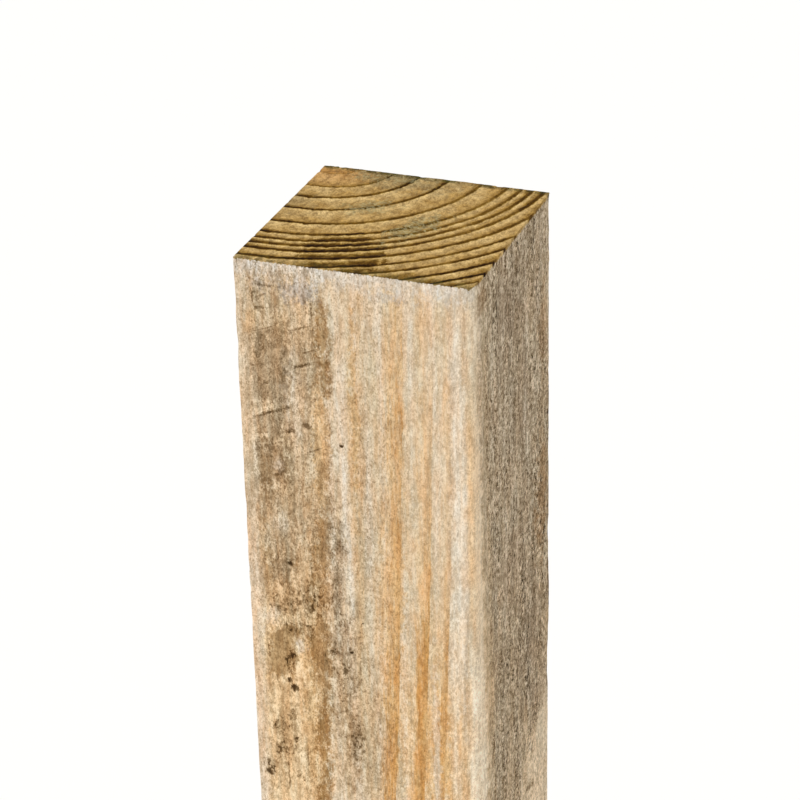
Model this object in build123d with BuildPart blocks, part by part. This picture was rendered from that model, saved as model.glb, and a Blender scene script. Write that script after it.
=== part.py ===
from build123d import *
import os

# A sawn softwood fence post, one length of timber standing upright on its square-cut foot.
# Millimetres. +Z runs up the grain, -Y is the front face, and the origin is the centre of the foot.

# Driving dimensions
POST_WIDTH = 75.0  # left face to right face
POST_DEPTH = 75.0  # front face to back face
POST_LENGTH = 1800.0  # foot to top cut
SAWN_ARRIS_RADIUS = 1.2  # three of the long edges, nearly as sharp as they left the saw
WORN_ARRIS_RADIUS = 4.0  # the front right long edge, rubbed round
TOP_RIM_EASE = 0.6  # width of the frayed bevel round the top cut
FOOT_RIM_EASE = 0.6  # width of the frayed bevel round the foot cut

# The diagonal from the post's axis towards its worn front right edge
TOWARDS_WORN_ARRIS = Axis((0, 0, 0), (POST_WIDTH, -POST_DEPTH, 0))

# The post: its sawn section drawn up along the grain, then the rims of both saw cuts eased
with BuildPart() as fence_post:
    with BuildSketch(Plane.XY) as sawn_section:
        Rectangle(POST_WIDTH, POST_DEPTH)
        *sawn_corners, worn_corner = sawn_section.vertices().sort_by(TOWARDS_WORN_ARRIS)
        fillet(sawn_corners, radius=SAWN_ARRIS_RADIUS)
        fillet(worn_corner, radius=WORN_ARRIS_RADIUS)
    extrude(amount=POST_LENGTH)
    foot_cut, *_, top_cut = fence_post.faces().sort_by(Axis.Z)
    chamfer(top_cut.edges(), length=TOP_RIM_EASE)
    chamfer(foot_cut.edges(), length=FOOT_RIM_EASE)

fence_post.part.label = "fence_post"

os.makedirs("parts", exist_ok=True)
export_step(fence_post.part, "parts/fence_post.step")
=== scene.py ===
"""Looks of a sawn softwood fence post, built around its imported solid.

The post is one length of timber, seen from above its top cut. Sizes in the classes are in millimetres
unless a name says otherwise, and every mesh is in metres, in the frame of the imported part.
"""

import logging
import math
from dataclasses import dataclass
from enum import Enum
from typing import NamedTuple, Optional, Union

import bpy
import numpy as np
from mathutils import Euler, Matrix, Vector


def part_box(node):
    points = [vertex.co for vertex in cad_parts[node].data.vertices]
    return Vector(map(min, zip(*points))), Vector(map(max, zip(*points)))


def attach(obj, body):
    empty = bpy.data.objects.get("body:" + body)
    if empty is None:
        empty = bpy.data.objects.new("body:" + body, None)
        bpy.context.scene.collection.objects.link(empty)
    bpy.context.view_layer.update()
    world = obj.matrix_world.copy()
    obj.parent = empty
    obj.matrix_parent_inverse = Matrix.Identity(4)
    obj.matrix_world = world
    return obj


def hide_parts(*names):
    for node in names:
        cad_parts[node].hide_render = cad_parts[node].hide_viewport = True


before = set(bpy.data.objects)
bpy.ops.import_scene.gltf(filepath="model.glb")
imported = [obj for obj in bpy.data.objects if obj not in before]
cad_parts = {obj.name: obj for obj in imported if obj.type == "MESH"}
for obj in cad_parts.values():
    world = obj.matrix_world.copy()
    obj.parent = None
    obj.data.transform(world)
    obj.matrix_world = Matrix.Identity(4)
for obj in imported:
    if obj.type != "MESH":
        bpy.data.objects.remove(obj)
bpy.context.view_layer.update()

MM = 0.001
POST_NODE = "fence_post"
POST_BODY = "root"

log = logging.getLogger("fence_post")

Tree = bpy.types.NodeTree
Socket = bpy.types.NodeSocket
Triple = tuple[float, float, float]
Source = Union[Socket, float, tuple, bpy.types.ID, None]


class Node(Enum):
    """The kinds of node that the trees here are made of, each with the settings that it always has."""

    ADD = "ShaderNodeMath", {"operation": "ADD"}
    SUBTRACT = "ShaderNodeMath", {"operation": "SUBTRACT"}
    MULTIPLY = "ShaderNodeMath", {"operation": "MULTIPLY"}
    MULTIPLY_ADD = "ShaderNodeMath", {"operation": "MULTIPLY_ADD"}
    DIVIDE = "ShaderNodeMath", {"operation": "DIVIDE"}
    POWER = "ShaderNodeMath", {"operation": "POWER"}
    MINIMUM = "ShaderNodeMath", {"operation": "MINIMUM"}
    MAXIMUM = "ShaderNodeMath", {"operation": "MAXIMUM"}
    ABSOLUTE = "ShaderNodeMath", {"operation": "ABSOLUTE"}
    FLOOR = "ShaderNodeMath", {"operation": "FLOOR"}
    FRACTION = "ShaderNodeMath", {"operation": "FRACT"}
    COSINE = "ShaderNodeMath", {"operation": "COSINE"}
    VECTOR_SUBTRACT = "ShaderNodeVectorMath", {"operation": "SUBTRACT"}
    VECTOR_MULTIPLY_ADD = "ShaderNodeVectorMath", {"operation": "MULTIPLY_ADD"}
    VECTOR_SCALE = "ShaderNodeVectorMath", {"operation": "SCALE"}
    DOT_PRODUCT = "ShaderNodeVectorMath", {"operation": "DOT_PRODUCT"}
    LENGTH = "ShaderNodeVectorMath", {"operation": "LENGTH"}
    RANGE = "ShaderNodeMapRange", {}
    EASE = "ShaderNodeMapRange", {"interpolation_type": "SMOOTHSTEP"}
    MIX = "ShaderNodeMix", {"data_type": "RGBA"}
    NOISE = "ShaderNodeTexNoise", {}
    RANDOM = "ShaderNodeTexWhiteNoise", {"noise_dimensions": "2D"}
    CURVE = "ShaderNodeFloatCurve", {}
    SPLIT = "ShaderNodeSeparateXYZ", {}
    JOIN = "ShaderNodeCombineXYZ", {}
    COORDINATES = "ShaderNodeTexCoord", {}
    BUMP = "ShaderNodeBump", {}
    SURFACE = "ShaderNodeBsdfPrincipled", {}
    MATERIAL_END = "ShaderNodeOutputMaterial", {}
    SKY = "ShaderNodeBackground", {}
    WORLD_END = "ShaderNodeOutputWorld", {}
    TREE_START = "NodeGroupInput", {}
    TREE_END = "NodeGroupOutput", {}
    POSITION = "GeometryNodeInputPosition", {}
    NORMAL = "GeometryNodeInputNormal", {}
    SET_POSITION = "GeometryNodeSetPosition", {}
    REALIZE = "GeometryNodeRealizeInstances", {}
    SET_MATERIAL = "GeometryNodeSetMaterial", {}


def add(
    tree: Tree,
    kind: Node,
    *sources: Source,
    named: Optional[dict[str, Source]] = None,
    **settings: object,
) -> Optional[Socket]:
    """Add one node to a tree, with its settings and links.

    Args:
        tree: The tree that gets the node.
        kind: Which node it is.
        sources: What its open inputs take, in order: a socket to link, a value to set, or None to leave.
        named: What further inputs take, by their names.
        settings: Further properties of the node, by name.

    Returns:
        The node's first open output, if it has one.
    """
    name_of_kind, always = kind.value
    node = tree.nodes.new(name_of_kind)
    for name, value in (always | settings).items():
        setattr(node, name, value)
    inputs = [socket for socket in node.inputs if socket.enabled]
    pairs = list(zip(inputs, sources))
    pairs += [(node.inputs[name], source) for name, source in (named or {}).items()]
    for socket, source in pairs:
        if isinstance(source, Socket):
            tree.links.new(source, socket)
        elif source is not None:
            socket.default_value = source
    return next((socket for socket in node.outputs if socket.enabled), None)


def emptied(owner: Union[bpy.types.Material, bpy.types.World]) -> Tree:
    """Give a material or a world an empty tree.

    Args:
        owner: The material or world.

    Returns:
        Its tree.
    """
    owner.use_nodes = True
    owner.node_tree.nodes.clear()
    return owner.node_tree


def linear(colour: str) -> tuple[float, float, float, float]:
    """Turn an sRGB hex colour into linear values with an alpha of one.

    Args:
        colour: A hash sign and six hex digits.

    Returns:
        Linear red, green, blue and alpha.
    """
    shares = [int(colour[place : place + 2], 16) / 255 for place in (1, 3, 5)]
    bent = [share / 12.92 if share <= 0.04045 else ((share + 0.055) / 1.055) ** 2.4 for share in shares]
    return (bent[0], bent[1], bent[2], 1.0)


class Place(NamedTuple):
    """Where a point of the timber is, as sockets in millimetres."""

    vector: Socket
    across: Socket
    inward: Socket
    below: Socket


class Grain(NamedTuple):
    """The growth rings at a point of the timber, as sockets, with distances in millimetres."""

    phase: Socket
    to_line: Socket
    past_line: Socket
    strength: Socket
    radius: Socket


class SawCut(NamedTuple):
    """The saw's marks at a point of the timber, as sockets, with its feed in millimetres."""

    feed: Socket
    line: Socket
    shade: Socket


@dataclass(frozen=True)
class Timber:
    """The solid wood: its section, the growth rings round its pith, and the saw's strokes over it.

    Places are in millimetres across from the left face, in from the front face and below the top cut.
    Each ring has its outer radius and the strength of the dark line there.
    """

    width: float
    depth: float
    length: float
    pith: tuple[float, float] = (4.3, 77.6)
    pith_swing: tuple[float, float] = (-7.0, 1.0)
    swing_length: tuple[float, float] = (900.0, 1300.0)
    rings: tuple[tuple[float, float], ...] = (
        (9.4, 0.08), (19.9, 0.3), (28.6, 0.9), (38.1, 0.95), (48.6, 0.85), (57.0, 1.0), (61.5, 0.9),
        (65.1, 0.95), (68.9, 1.0), (74.2, 0.9), (79.9, 0.9), (85.0, 0.75), (91.1, 1.08), (96.4, 1.03),
        (100.3, 0.75), (104.6, 0.3), (108.8, 0.7), (113.0, 0.9), (118.0, 0.8),
    )
    ring_span: float = 120.0
    width_span: float = 12.0
    wobble: float = 0.5
    fine_wobble: float = 0.25
    saw_pitch: float = 11.3
    saw_rise: float = 0.445
    saw_shift: float = 1.7
    saw_line: float = 0.1
    saw_bend: float = 4.0
    block_width: float = 6.5

    def place(self, tree: Tree, position: Socket) -> Place:
        """Turn a position in metres into millimetres from the post's left, front and top faces.

        Args:
            tree: The tree that gets the nodes.
            position: A point in the part's frame.

        Returns:
            The place as a vector and as its three parts.
        """
        scale = (1 / MM, 1 / MM, -1 / MM)
        shift = (self.width / 2, self.depth / 2, self.length)
        vector = add(tree, Node.VECTOR_MULTIPLY_ADD, position, scale, shift)
        parts = add(tree, Node.SPLIT, vector).node.outputs
        return Place(vector, parts[0], parts[1], parts[2])

    def noise(
        self,
        tree: Tree,
        place: Place,
        size: Triple,
        detail: float = 2.0,
        seed: float = 0.0,
        rough: float = 0.55,
    ) -> Socket:
        """Add cloudy noise whose lumps have a size along each axis.

        Args:
            tree: The tree that gets the nodes.
            place: Where the noise is read.
            size: The lumps' size in millimetres across, inward and down.
            detail: How many finer layers it has.
            seed: A shift that makes it differ from other noise of the same size.
            rough: How strong each finer layer is beside the one before it.

        Returns:
            A value that is 0.5 on average.
        """
        scale = tuple(1 / part for part in size)
        shrunk = add(tree, Node.VECTOR_MULTIPLY_ADD, place.vector, scale, (seed, seed, seed))
        return add(tree, Node.NOISE, shrunk, 1.0, detail, rough, 2.0, 0.0)

    def from_end(self, tree: Tree, place: Place) -> Socket:
        """Measure how far a point is from the nearer saw cut.

        Args:
            tree: The tree that gets the nodes.
            place: The point.

        Returns:
            The distance.
        """
        above = add(tree, Node.SUBTRACT, self.length, place.below)
        return add(tree, Node.MINIMUM, place.below, above)

    def from_edge(self, tree: Tree, place: Place) -> tuple[Socket, Socket]:
        """Measure how far a point is from the sides of the section.

        Args:
            tree: The tree that gets the nodes.
            place: The point.

        Returns:
            The distance to the nearest side and to the nearest side of the other pair.
        """
        nearest = []
        for along, size in ((place.across, self.width), (place.inward, self.depth)):
            other = add(tree, Node.SUBTRACT, size, along)
            nearest.append(add(tree, Node.MINIMUM, along, other))
        near = add(tree, Node.MINIMUM, nearest[0], nearest[1])
        far = add(tree, Node.MAXIMUM, nearest[0], nearest[1])
        return near, far

    def grain(self, tree: Tree, place: Place) -> Grain:
        """Add the growth rings, as rings about a pith that swings a little along the post.

        Args:
            tree: The tree that gets the nodes.
            place: Where the rings are read.

        Returns:
            The share of its ring that a point is out at, how far it is from the dark lines outside and
            inside it, how strong the outer line is, and the distance from the pith.
        """
        parts = []
        for along, centre, swing, length in zip(
            (place.across, place.inward), self.pith, self.pith_swing, self.swing_length
        ):
            turn = add(tree, Node.MULTIPLY, place.below, 2 * math.pi / length)
            wave = add(tree, Node.COSINE, turn)
            pith = add(tree, Node.MULTIPLY_ADD, wave, -swing, centre + swing)
            parts.append(add(tree, Node.SUBTRACT, along, pith))
        arm = add(tree, Node.JOIN, parts[0], parts[1], 0.0)
        radius = add(tree, Node.LENGTH, arm)
        for size, swing in (((24.0, 24.0, 170.0), self.wobble), ((2.6, 2.6, 16.0), self.fine_wobble)):
            lump = self.noise(tree, place, size, 1.0)
            radius = add(tree, Node.MULTIPLY_ADD, lump, 2 * swing, radius)
        radius = add(tree, Node.SUBTRACT, radius, self.wobble + self.fine_wobble)
        share = add(tree, Node.DIVIDE, radius, self.ring_span)
        edges = (0.0, *[outer for outer, _ in self.rings])
        count = len(edges)
        numbers = [(edge / self.ring_span, number / count) for number, edge in enumerate(edges)]
        middles = [(number + 0.5) / count for number in range(len(self.rings))]
        widths = [(outer - inner) / self.width_span for inner, outer in zip(edges, edges[1:])]
        ring = self._curve(tree, share, numbers)
        ring = add(tree, Node.MULTIPLY, ring, count)
        phase = add(tree, Node.FRACTION, ring)
        number = add(tree, Node.FLOOR, ring)
        middle = add(tree, Node.MULTIPLY_ADD, number, 1 / count, 0.5 / count)
        ring_width = self._curve(tree, middle, list(zip(middles, widths)))
        ring_width = add(tree, Node.MULTIPLY, ring_width, self.width_span)
        strength = self._curve(tree, middle, [(at, ring[1]) for at, ring in zip(middles, self.rings)])
        past_line = add(tree, Node.MULTIPLY, phase, ring_width)
        to_line = add(tree, Node.SUBTRACT, ring_width, past_line)
        return Grain(phase, to_line, past_line, strength, radius)

    def _curve(self, tree: Tree, value: Socket, points: list[tuple[float, float]]) -> Socket:
        """Read a value off a line through points.

        Args:
            tree: The tree that gets the nodes.
            value: The value that is read, from 0 to 1.
            points: The points of the line, at least two, from left to right.

        Returns:
            The line's height there.
        """
        height = add(tree, Node.CURVE, 1.0, value)
        mapping = height.node.mapping
        line = mapping.curves[0]
        line.points[0].location = points[0]
        line.points[1].location = points[-1]
        for spot in points[1:-1]:
            line.points.new(*spot)
        for point in line.points:
            point.handle_type = "VECTOR"
        mapping.update()
        return height

    def saw_cut(self, tree: Tree, place: Place) -> SawCut:
        """Add the saw's strokes, which slant across each face at the pitch of its feed.

        Args:
            tree: The tree that gets the nodes.
            place: Where the strokes are read.

        Returns:
            How far along the feed a point is, how deep it is in the line between two strokes, and a
            random shade of its block of the stroke.
        """
        slant = (self.saw_rise, -self.saw_rise, 1.0)
        feed = add(tree, Node.DOT_PRODUCT, place.vector, slant)
        bend = self.noise(tree, place, (30.0, 30.0, 40.0), 1.0, 3.1)
        feed = add(tree, Node.MULTIPLY_ADD, bend, self.saw_bend, feed)
        feed = add(tree, Node.SUBTRACT, feed, self.saw_bend / 2)
        strokes = add(tree, Node.MULTIPLY_ADD, feed, 1 / self.saw_pitch, self.saw_shift)
        phase = add(tree, Node.FRACTION, strokes)
        line = add(tree, Node.EASE, phase, self.saw_line, 0.0)
        walk = add(tree, Node.DOT_PRODUCT, place.vector, (1.0, 1.0, 0.0))
        fray = self.noise(tree, place, (2.0, 2.0, 2.6), 3.0, 25.0, 0.9)
        number = add(tree, Node.MULTIPLY_ADD, fray, 1.2, strokes)
        number = add(tree, Node.FLOOR, number)
        walk = add(tree, Node.MULTIPLY_ADD, fray, 2 * self.block_width, walk)
        column = add(tree, Node.MULTIPLY, walk, 1 / self.block_width)
        column = add(tree, Node.FLOOR, column)
        block = add(tree, Node.JOIN, number, column, 0.0)
        shade = add(tree, Node.RANDOM, block)
        return SawCut(feed, line, shade)


class Spot(NamedTuple):
    """What a mark is read from at a point: its place, noise for uneven edges, and the saw's feed.

    The vector is the place with a fine wander that speckles edges, and the rise is how far the saw's
    strokes climb for each millimetre across.
    """

    place: Place
    vector: Socket
    rag: Socket
    feed: Socket
    rise: float


@dataclass(frozen=True)
class Block:
    """A brown block on the front face, with upright sides and with ends that follow the saw's strokes.

    Its middle is in millimetres across and below the top cut, and its reach is half its size.
    """

    middle: tuple[float, float]
    reach: tuple[float, float]
    strength: float = 0.7
    ragged: float = 0.4
    soft: float = 0.6

    def mask(self, tree: Tree, spot: Spot) -> Socket:
        """Add the block.

        Args:
            tree: The tree that gets the nodes.
            spot: Where the block is read.

        Returns:
            A share that is the block's strength in its middle and nothing outside it.
        """
        across, below = self.middle
        offsets = []
        middles = (across, below + spot.rise * across)
        for along, middle, reach in zip((spot.place.across, spot.feed), middles, self.reach):
            offset = add(tree, Node.MULTIPLY_ADD, along, 1 / reach, -middle / reach)
            offsets.append(add(tree, Node.ABSOLUTE, offset))
        distance = add(tree, Node.MAXIMUM, *offsets)
        uneven = add(tree, Node.MULTIPLY_ADD, spot.rag, 2 * self.ragged, distance)
        outer = 1 + self.soft / 2 + self.ragged
        return add(tree, Node.EASE, uneven, outer, outer - self.soft, 0.0, self.strength)


@dataclass(frozen=True)
class Stain:
    """A soft-edged mark on the timber, as an ellipsoid about a point of the surface.

    Its centre is in millimetres across, inward and below the top cut, its reach is half its size, and
    its turn is in degrees about those axes.
    """

    centre: Triple
    reach: Triple
    turn: Triple = (0.0, 0.0, 0.0)
    strength: float = 1.0
    ragged: float = 0.5
    soft: float = 1.0

    def mask(self, tree: Tree, spot: Spot) -> Socket:
        """Add the mark.

        Args:
            tree: The tree that gets the nodes.
            spot: Where the mark is read.

        Returns:
            A share that is the mark's strength in its middle and nothing outside it.
        """
        if any(self.turn):
            turn = Euler([math.radians(part) for part in self.turn]).to_matrix()
            offset = add(tree, Node.VECTOR_SUBTRACT, spot.vector, self.centre)
            rows = [tuple(turn.col[axis] / self.reach[axis]) for axis in range(3)]
            parts = [add(tree, Node.DOT_PRODUCT, offset, row) for row in rows]
            local = add(tree, Node.JOIN, *parts)
        else:
            scale = tuple(1 / reach for reach in self.reach)
            shift = tuple(-centre / reach for centre, reach in zip(self.centre, self.reach))
            local = add(tree, Node.VECTOR_MULTIPLY_ADD, spot.vector, scale, shift)
        distance = add(tree, Node.LENGTH, local)
        uneven = add(tree, Node.MULTIPLY_ADD, spot.rag, 2 * self.ragged, distance)
        outer = 1 + self.soft / 4 + self.ragged
        return add(tree, Node.EASE, uneven, outer, outer - self.soft, 0.0, self.strength)


def on_front(inward: float, *rows: tuple[float, ...]) -> tuple[Stain, ...]:
    """Make marks on the front face.

    Args:
        inward: How far the marks reach into the timber, which wraps those at an edge round it.
        rows: For each mark its middle across and below the top cut, half its width and height, and its
            strength, then its lean in degrees, raggedness and softness where they aren't the usual ones.

    Returns:
        The marks.
    """
    marks = []
    for across, below, half_width, half_height, strength, *special in rows:
        usual = (0.0, Stain.ragged, Stain.soft)
        lean, ragged, soft = (*special, *usual[len(special) :])
        centre, reach = (across, 0.0, below), (half_width, inward, half_height)
        marks.append(Stain(centre, reach, (0.0, lean, 0.0), strength, ragged, soft))
    return tuple(marks)


def strongest(tree: Tree, *masks: Socket) -> Socket:
    """Lay several masks over each other.

    Args:
        tree: The tree that gets the nodes.
        masks: The masks, at least one.

    Returns:
        The highest of them at each point.
    """
    top = masks[0]
    for mask in masks[1:]:
        top = add(tree, Node.MAXIMUM, top, mask)
    return top


def marked(tree: Tree, marks: tuple[Union[Block, Stain], ...], spot: Spot) -> Socket:
    """Lay several marks over each other.

    Each is joined to those before it as it is made, because a shader holds only so many values at once.

    Args:
        tree: The tree that gets the nodes.
        marks: The marks, at least one.
        spot: Where they are read.

    Returns:
        The share of the strongest of them at each point.
    """
    top = marks[0].mask(tree, spot)
    for mark in marks[1:]:
        top = add(tree, Node.MAXIMUM, top, mark.mask(tree, spot))
    return top


def together(tree: Tree, *masks: Source) -> Socket:
    """Keep what several masks have in common.

    Args:
        tree: The tree that gets the nodes.
        masks: The masks, at least two.

    Returns:
        Their product.
    """
    whole = masks[0]
    for mask in masks[1:]:
        whole = add(tree, Node.MULTIPLY, whole, mask)
    return whole


def dye(tree: Tree, factor: Socket, colour: Socket, green: float, blue: float) -> Socket:
    """Make a colour darker or lighter by a factor, as more or less of a brown dye does.

    Args:
        tree: The tree that gets the nodes.
        factor: The factor for red, which is one for no change.
        colour: The colour.
        green: The power of the factor that green changes by.
        blue: The power of the factor that blue changes by.

    Returns:
        The changed colour.
    """
    powers = [add(tree, Node.POWER, factor, power) for power in (green, blue)]
    factors = add(tree, Node.JOIN, factor, *powers)
    return add(tree, Node.MIX, 1.0, colour, factors, blend_type="MULTIPLY")


class Weather(NamedTuple):
    """How weathered a point of the faces is, as sockets that hold shares, with a painted highlight on
    the rubbed right arris and a painted shadow just under the top cut.

    Marks are read from the spot, or from the thin spot, which wanders less, for thin ones.
    """

    spot: Spot
    thin: Spot
    dun: Socket
    honey: Socket
    blush: Socket
    amber: Socket
    warm_wear_and_highlight: Socket
    pale_wear_and_highlight: Socket
    brown: Socket
    umber: Socket
    damp: Socket
    ash_and_shadow: Socket
    grey: Socket
    dusk: Socket
    rust: Socket
    scraped: Socket
    fringe: Socket


@dataclass(frozen=True)
class SawnSoftwood:
    """Pressure-treated pine as it comes off a band saw, left out to weather.

    The saw leaves woolly fibre that scatters light, so it is matt all over, paler than planed wood and
    flecked along the grain. The hard dark wood of each ring shows as an orange streak on the faces and
    as a dark line on the cut ends, which drink in the brown-green preservative. Grey stain, brown
    blocks between saw strokes and black mould lie over it. Each span is where the front face, the right
    face or the length below the photo begins to count and where it counts in full, in millimetres. A
    shade is the share of light that a full dose of a dark stain leaves, and the powers are how much
    more of it green and blue lose.
    """

    timber: Timber
    roughness: float = 0.92
    specular: float = 0.08
    fuzz: float = 0.7
    relief: float = 0.9
    mould_shade: float = 0.3
    soak_shade: float = 0.21
    fleck_powers: tuple[float, float] = (1.13, 1.35)
    soak_powers: tuple[float, float] = (1.2, 2.1)
    end_powers: tuple[float, float] = (1.1, 1.25)
    wander: float = 5.0
    thin_wander: float = 1.5
    drift: float = 0.075
    front_span: tuple[float, float] = (4.0, 1.0)
    right_span: tuple[float, float] = (73.6, 74.6)
    unseen_span: tuple[float, float] = (190.0, 260.0)
    cream: str = "#DBC8AF"
    straw: str = "#CFB896"
    tan: str = "#D2A770"
    orange: str = "#B57E3A"
    dun: str = "#CAB08D"
    honey: str = "#E0C094"
    blush: str = "#DEC3A4"
    # The warm and pale colours of the rubbed right arris are its worn wood, lightened as a painted
    # highlight.
    warm_wear_and_highlight: str = "#F2CC9A"
    pale_wear_and_highlight: str = "#FFECCE"
    brown: str = "#8A6F4E"
    umber: str = "#9A7342"
    damp_grey: str = "#987D5B"
    # Grey of the ash stains, also used as the painted shadow under the frayed fringe at the top of the
    # front face.
    ashen_and_shadow: str = "#AFA090"
    grey: str = "#B6A183"
    dusk: str = "#937C63"
    rust: str = "#A67E50"
    scraped: str = "#E6CFAE"
    fringe: str = "#D2C6B6"
    bleached: str = "#DFD0BB"
    end_pale: str = "#D6B880"
    end_tan: str = "#B08C50"
    end_heart: str = "#B47C42"
    end_grey: str = "#AC9F74"
    end_film: str = "#8C7A56"
    end_green: str = "#45421C"

    tan_streaks: tuple[Stain, ...] = on_front(
        5.0,
        (26.4, 61.0, 3.2, 27.0, 0.6),
        (37.4, 46.0, 1.7, 34.0, 0.75),
        (36.2, 74.0, 1.2, 27.0, 0.4, 1.0),
        (45.8, 108.0, 3.0, 36.0, 0.4),
        (52.4, 162.0, 2.6, 28.0, 0.5),
        (67.2, 48.0, 1.8, 44.0, 0.4),
        (71.0, 168.0, 2.0, 20.0, 0.3),
        (64.8, 164.0, 2.2, 26.0, 0.9),
        (58.6, 162.0, 1.9, 24.0, 0.85),
        (58.4, 106.0, 1.6, 16.0, 0.3),
        (50.2, 106.0, 2.4, 24.0, 0.65),
        (19.8, 160.0, 3.0, 36.0, 0.5),
        (18.8, 136.0, 2.4, 8.0, 0.5),
        (15.0, 20.0, 2.4, 10.0, 0.35),
        (5.0, 19.0, 2.6, 6.0, 0.4),
        (5.4, 97.0, 2.2, 14.0, 0.4),
    )
    pale_streaks: tuple[Stain, ...] = on_front(
        5.0,
        (32.8, 46.0, 2.0, 18.0, 0.6, 0.0, 0.4),
        (33.7, 76.0, 0.9, 30.0, 0.95, 1.8, 0.3),
        (34.9, 106.0, 0.9, 12.0, 0.7, 2.0, 0.3),
        (61.5, 156.0, 1.5, 30.0, 0.55),
        (68.0, 164.0, 1.6, 18.0, 0.35),
        (43.5, 12.0, 3.4, 13.0, 0.4),
        (55.0, 45.0, 3.4, 48.0, 0.25),
        (69.0, 128.0, 3.0, 24.0, 0.4),
        (18.0, 45.0, 3.6, 16.0, 0.3),
        (70.0, 72.0, 3.6, 90.0, 0.7, 0.6, 0.3),
        (17.0, 131.0, 2.0, 2.6, 0.6),
        (8.6, 121.0, 2.6, 4.0, 0.5),
        (12.4, 67.5, 1.8, 2.4, 0.45),
        (12.4, 87.5, 3.2, 4.0, 0.25),
    )
    blocks: tuple[Block, ...] = (
        Block((11.3, 34.0), (5.9, 11.5), 0.66),
        Block((10.8, 53.0), (5.2, 3.4), 0.5),
        Block((13.8, 44.0), (2.8, 13.0), 0.66),
        Block((10.8, 67.0), (5.2, 8.5), 0.7),
        Block((11.0, 81.0), (5.0, 4.0), 0.35),
        Block((12.0, 94.0), (6.0, 4.0), 0.35),
        Block((10.0, 104.5), (5.6, 5.0), 0.6),
    )
    umbers: tuple[Stain, ...] = on_front(
        5.0,
        (28.0, 24.0, 2.4, 20.0, 0.8),
        (22.4, 22.0, 2.4, 13.0, 0.35),
        (24.8, 103.0, 5.0, 26.0, 0.75),
        (23.8, 133.0, 5.2, 22.0, 0.78),
        (23.2, 166.0, 3.0, 32.0, 0.9),
        (34.0, 163.0, 2.8, 17.0, 0.5),
        (44.5, 165.0, 2.6, 28.0, 0.3),
    ) + on_front(
        6.0,
        (12.0, 114.0, 8.0, 7.0, 0.45),
        (19.4, 108.0, 3.0, 20.0, 0.45),
        (8.4, 80.0, 3.6, 20.0, 0.35),
        (7.4, 106.0, 2.2, 16.0, 0.4),
        (16.8, 78.0, 3.6, 18.0, 0.25),
        (22.8, 82.0, 2.4, 18.0, 0.3),
        (12.2, 160.0, 3.2, 20.0, 0.45),
        (8.8, 162.0, 2.8, 4.0, 0.45),
        (9.2, 173.0, 2.6, 8.0, 0.4),
    )
    umber_blocks: tuple[Block, ...] = (Block((10.8, 134.0), (5.2, 9.5), 0.75),)
    damp: tuple[Stain, ...] = on_front(
        5.0,
        (29.8, 98.0, 4.0, 27.0, 0.68),
        (32.2, 137.0, 6.6, 30.0, 0.7),
        (37.5, 45.0, 1.9, 17.0, 0.3),
        (34.0, 166.0, 5.0, 24.0, 0.4),
        (28.6, 55.0, 2.0, 42.0, 0.5),
        (40.2, 76.0, 4.0, 42.0, 0.28),
        (39.5, 158.0, 5.0, 48.0, 0.28),
        (30.8, 76.0, 1.5, 16.0, 0.35),
    )
    # The three marks just under the top cut are painted shadow below the frayed fringe, the first of
    # them over a grey stain; the lower ones are grey stain.
    ashes_and_fringe_shadow: tuple[Stain, ...] = on_front(
        5.0,
        (21.0, 8.4, 6.4, 4.4, 0.95),
        (49.0, 6.6, 7.0, 2.0, 0.6),
        (8.0, 8.0, 4.0, 2.4, 0.5),
        (31.0, 100.0, 3.6, 22.0, 0.4),
        (31.5, 127.0, 4.0, 10.0, 0.35),
        (3.0, 100.0, 2.6, 14.0, 0.25),
    )
    dusks: tuple[Stain, ...] = (
        Stain((75.0, 34.0, 22.0), (6.0, 15.0, 17.0), strength=0.5),
        Stain((75.0, 44.0, 58.0), (6.0, 12.0, 20.0), strength=0.3),
        Stain((75.0, 38.0, 108.0), (6.0, 13.0, 18.0), strength=0.35),
        Stain((75.0, 55.0, 150.0), (6.0, 14.0, 30.0), strength=0.45),
        Stain((75.0, 62.0, 173.0), (6.0, 11.0, 9.0), strength=0.55),
    )
    rusts: tuple[Stain, ...] = (
        Stain((75.0, 67.5, 44.0), (6.0, 5.0, 18.0), strength=0.5, ragged=0.6),
        Stain((75.0, 66.0, 102.0), (6.0, 6.0, 25.0), strength=0.6, ragged=0.6),
        Stain((75.0, 5.0, 8.0), (6.0, 8.0, 4.0), strength=0.4, ragged=0.6),
    )
    scrapes: tuple[Stain, ...] = (
        Stain((75.0, 70.0, 214.0), (6.0, 29.0, 32.0), ragged=0.2, soft=0.25),
        Stain((75.0, 66.0, 262.0), (6.0, 20.0, 80.0), strength=0.85, ragged=0.5, soft=0.8),
    )
    strokes: tuple[Stain, ...] = on_front(
        3.0,
        (12.0, 49.2, 7.5, 0.7, 0.75, 24.0, 0.4),
        (21.6, 32.7, 4.4, 0.6, 0.85, 22.0, 0.4),
        (21.4, 20.4, 2.6, 0.5, 0.65, 22.0, 0.4),
        (10.0, 8.2, 4.4, 0.5, 0.5),
        (9.0, 15.4, 3.0, 0.5, 0.5, 8.0),
        (16.2, 55.6, 1.6, 0.8, 0.85, 25.0),
        (22.3, 52.6, 1.4, 0.9, 0.7, -20.0),
        (11.0, 60.6, 5.5, 0.6, 0.4, 25.0),
        (12.6, 70.4, 3.6, 0.7, 0.5, 25.0),
        (6.4, 12.5, 0.5, 3.6, 0.5),
        (24.9, 14.5, 0.5, 3.0, 0.5),
        (17.9, 174.0, 0.4, 4.4, 0.6),
        (11.2, 180.0, 0.5, 5.0, 0.7),
        (6.2, 134.0, 0.4, 4.0, 0.5),
    ) + (Stain((75.0, 53.0, 206.2), (3.0, 4.0, 1.8), strength=0.7),)
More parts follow.
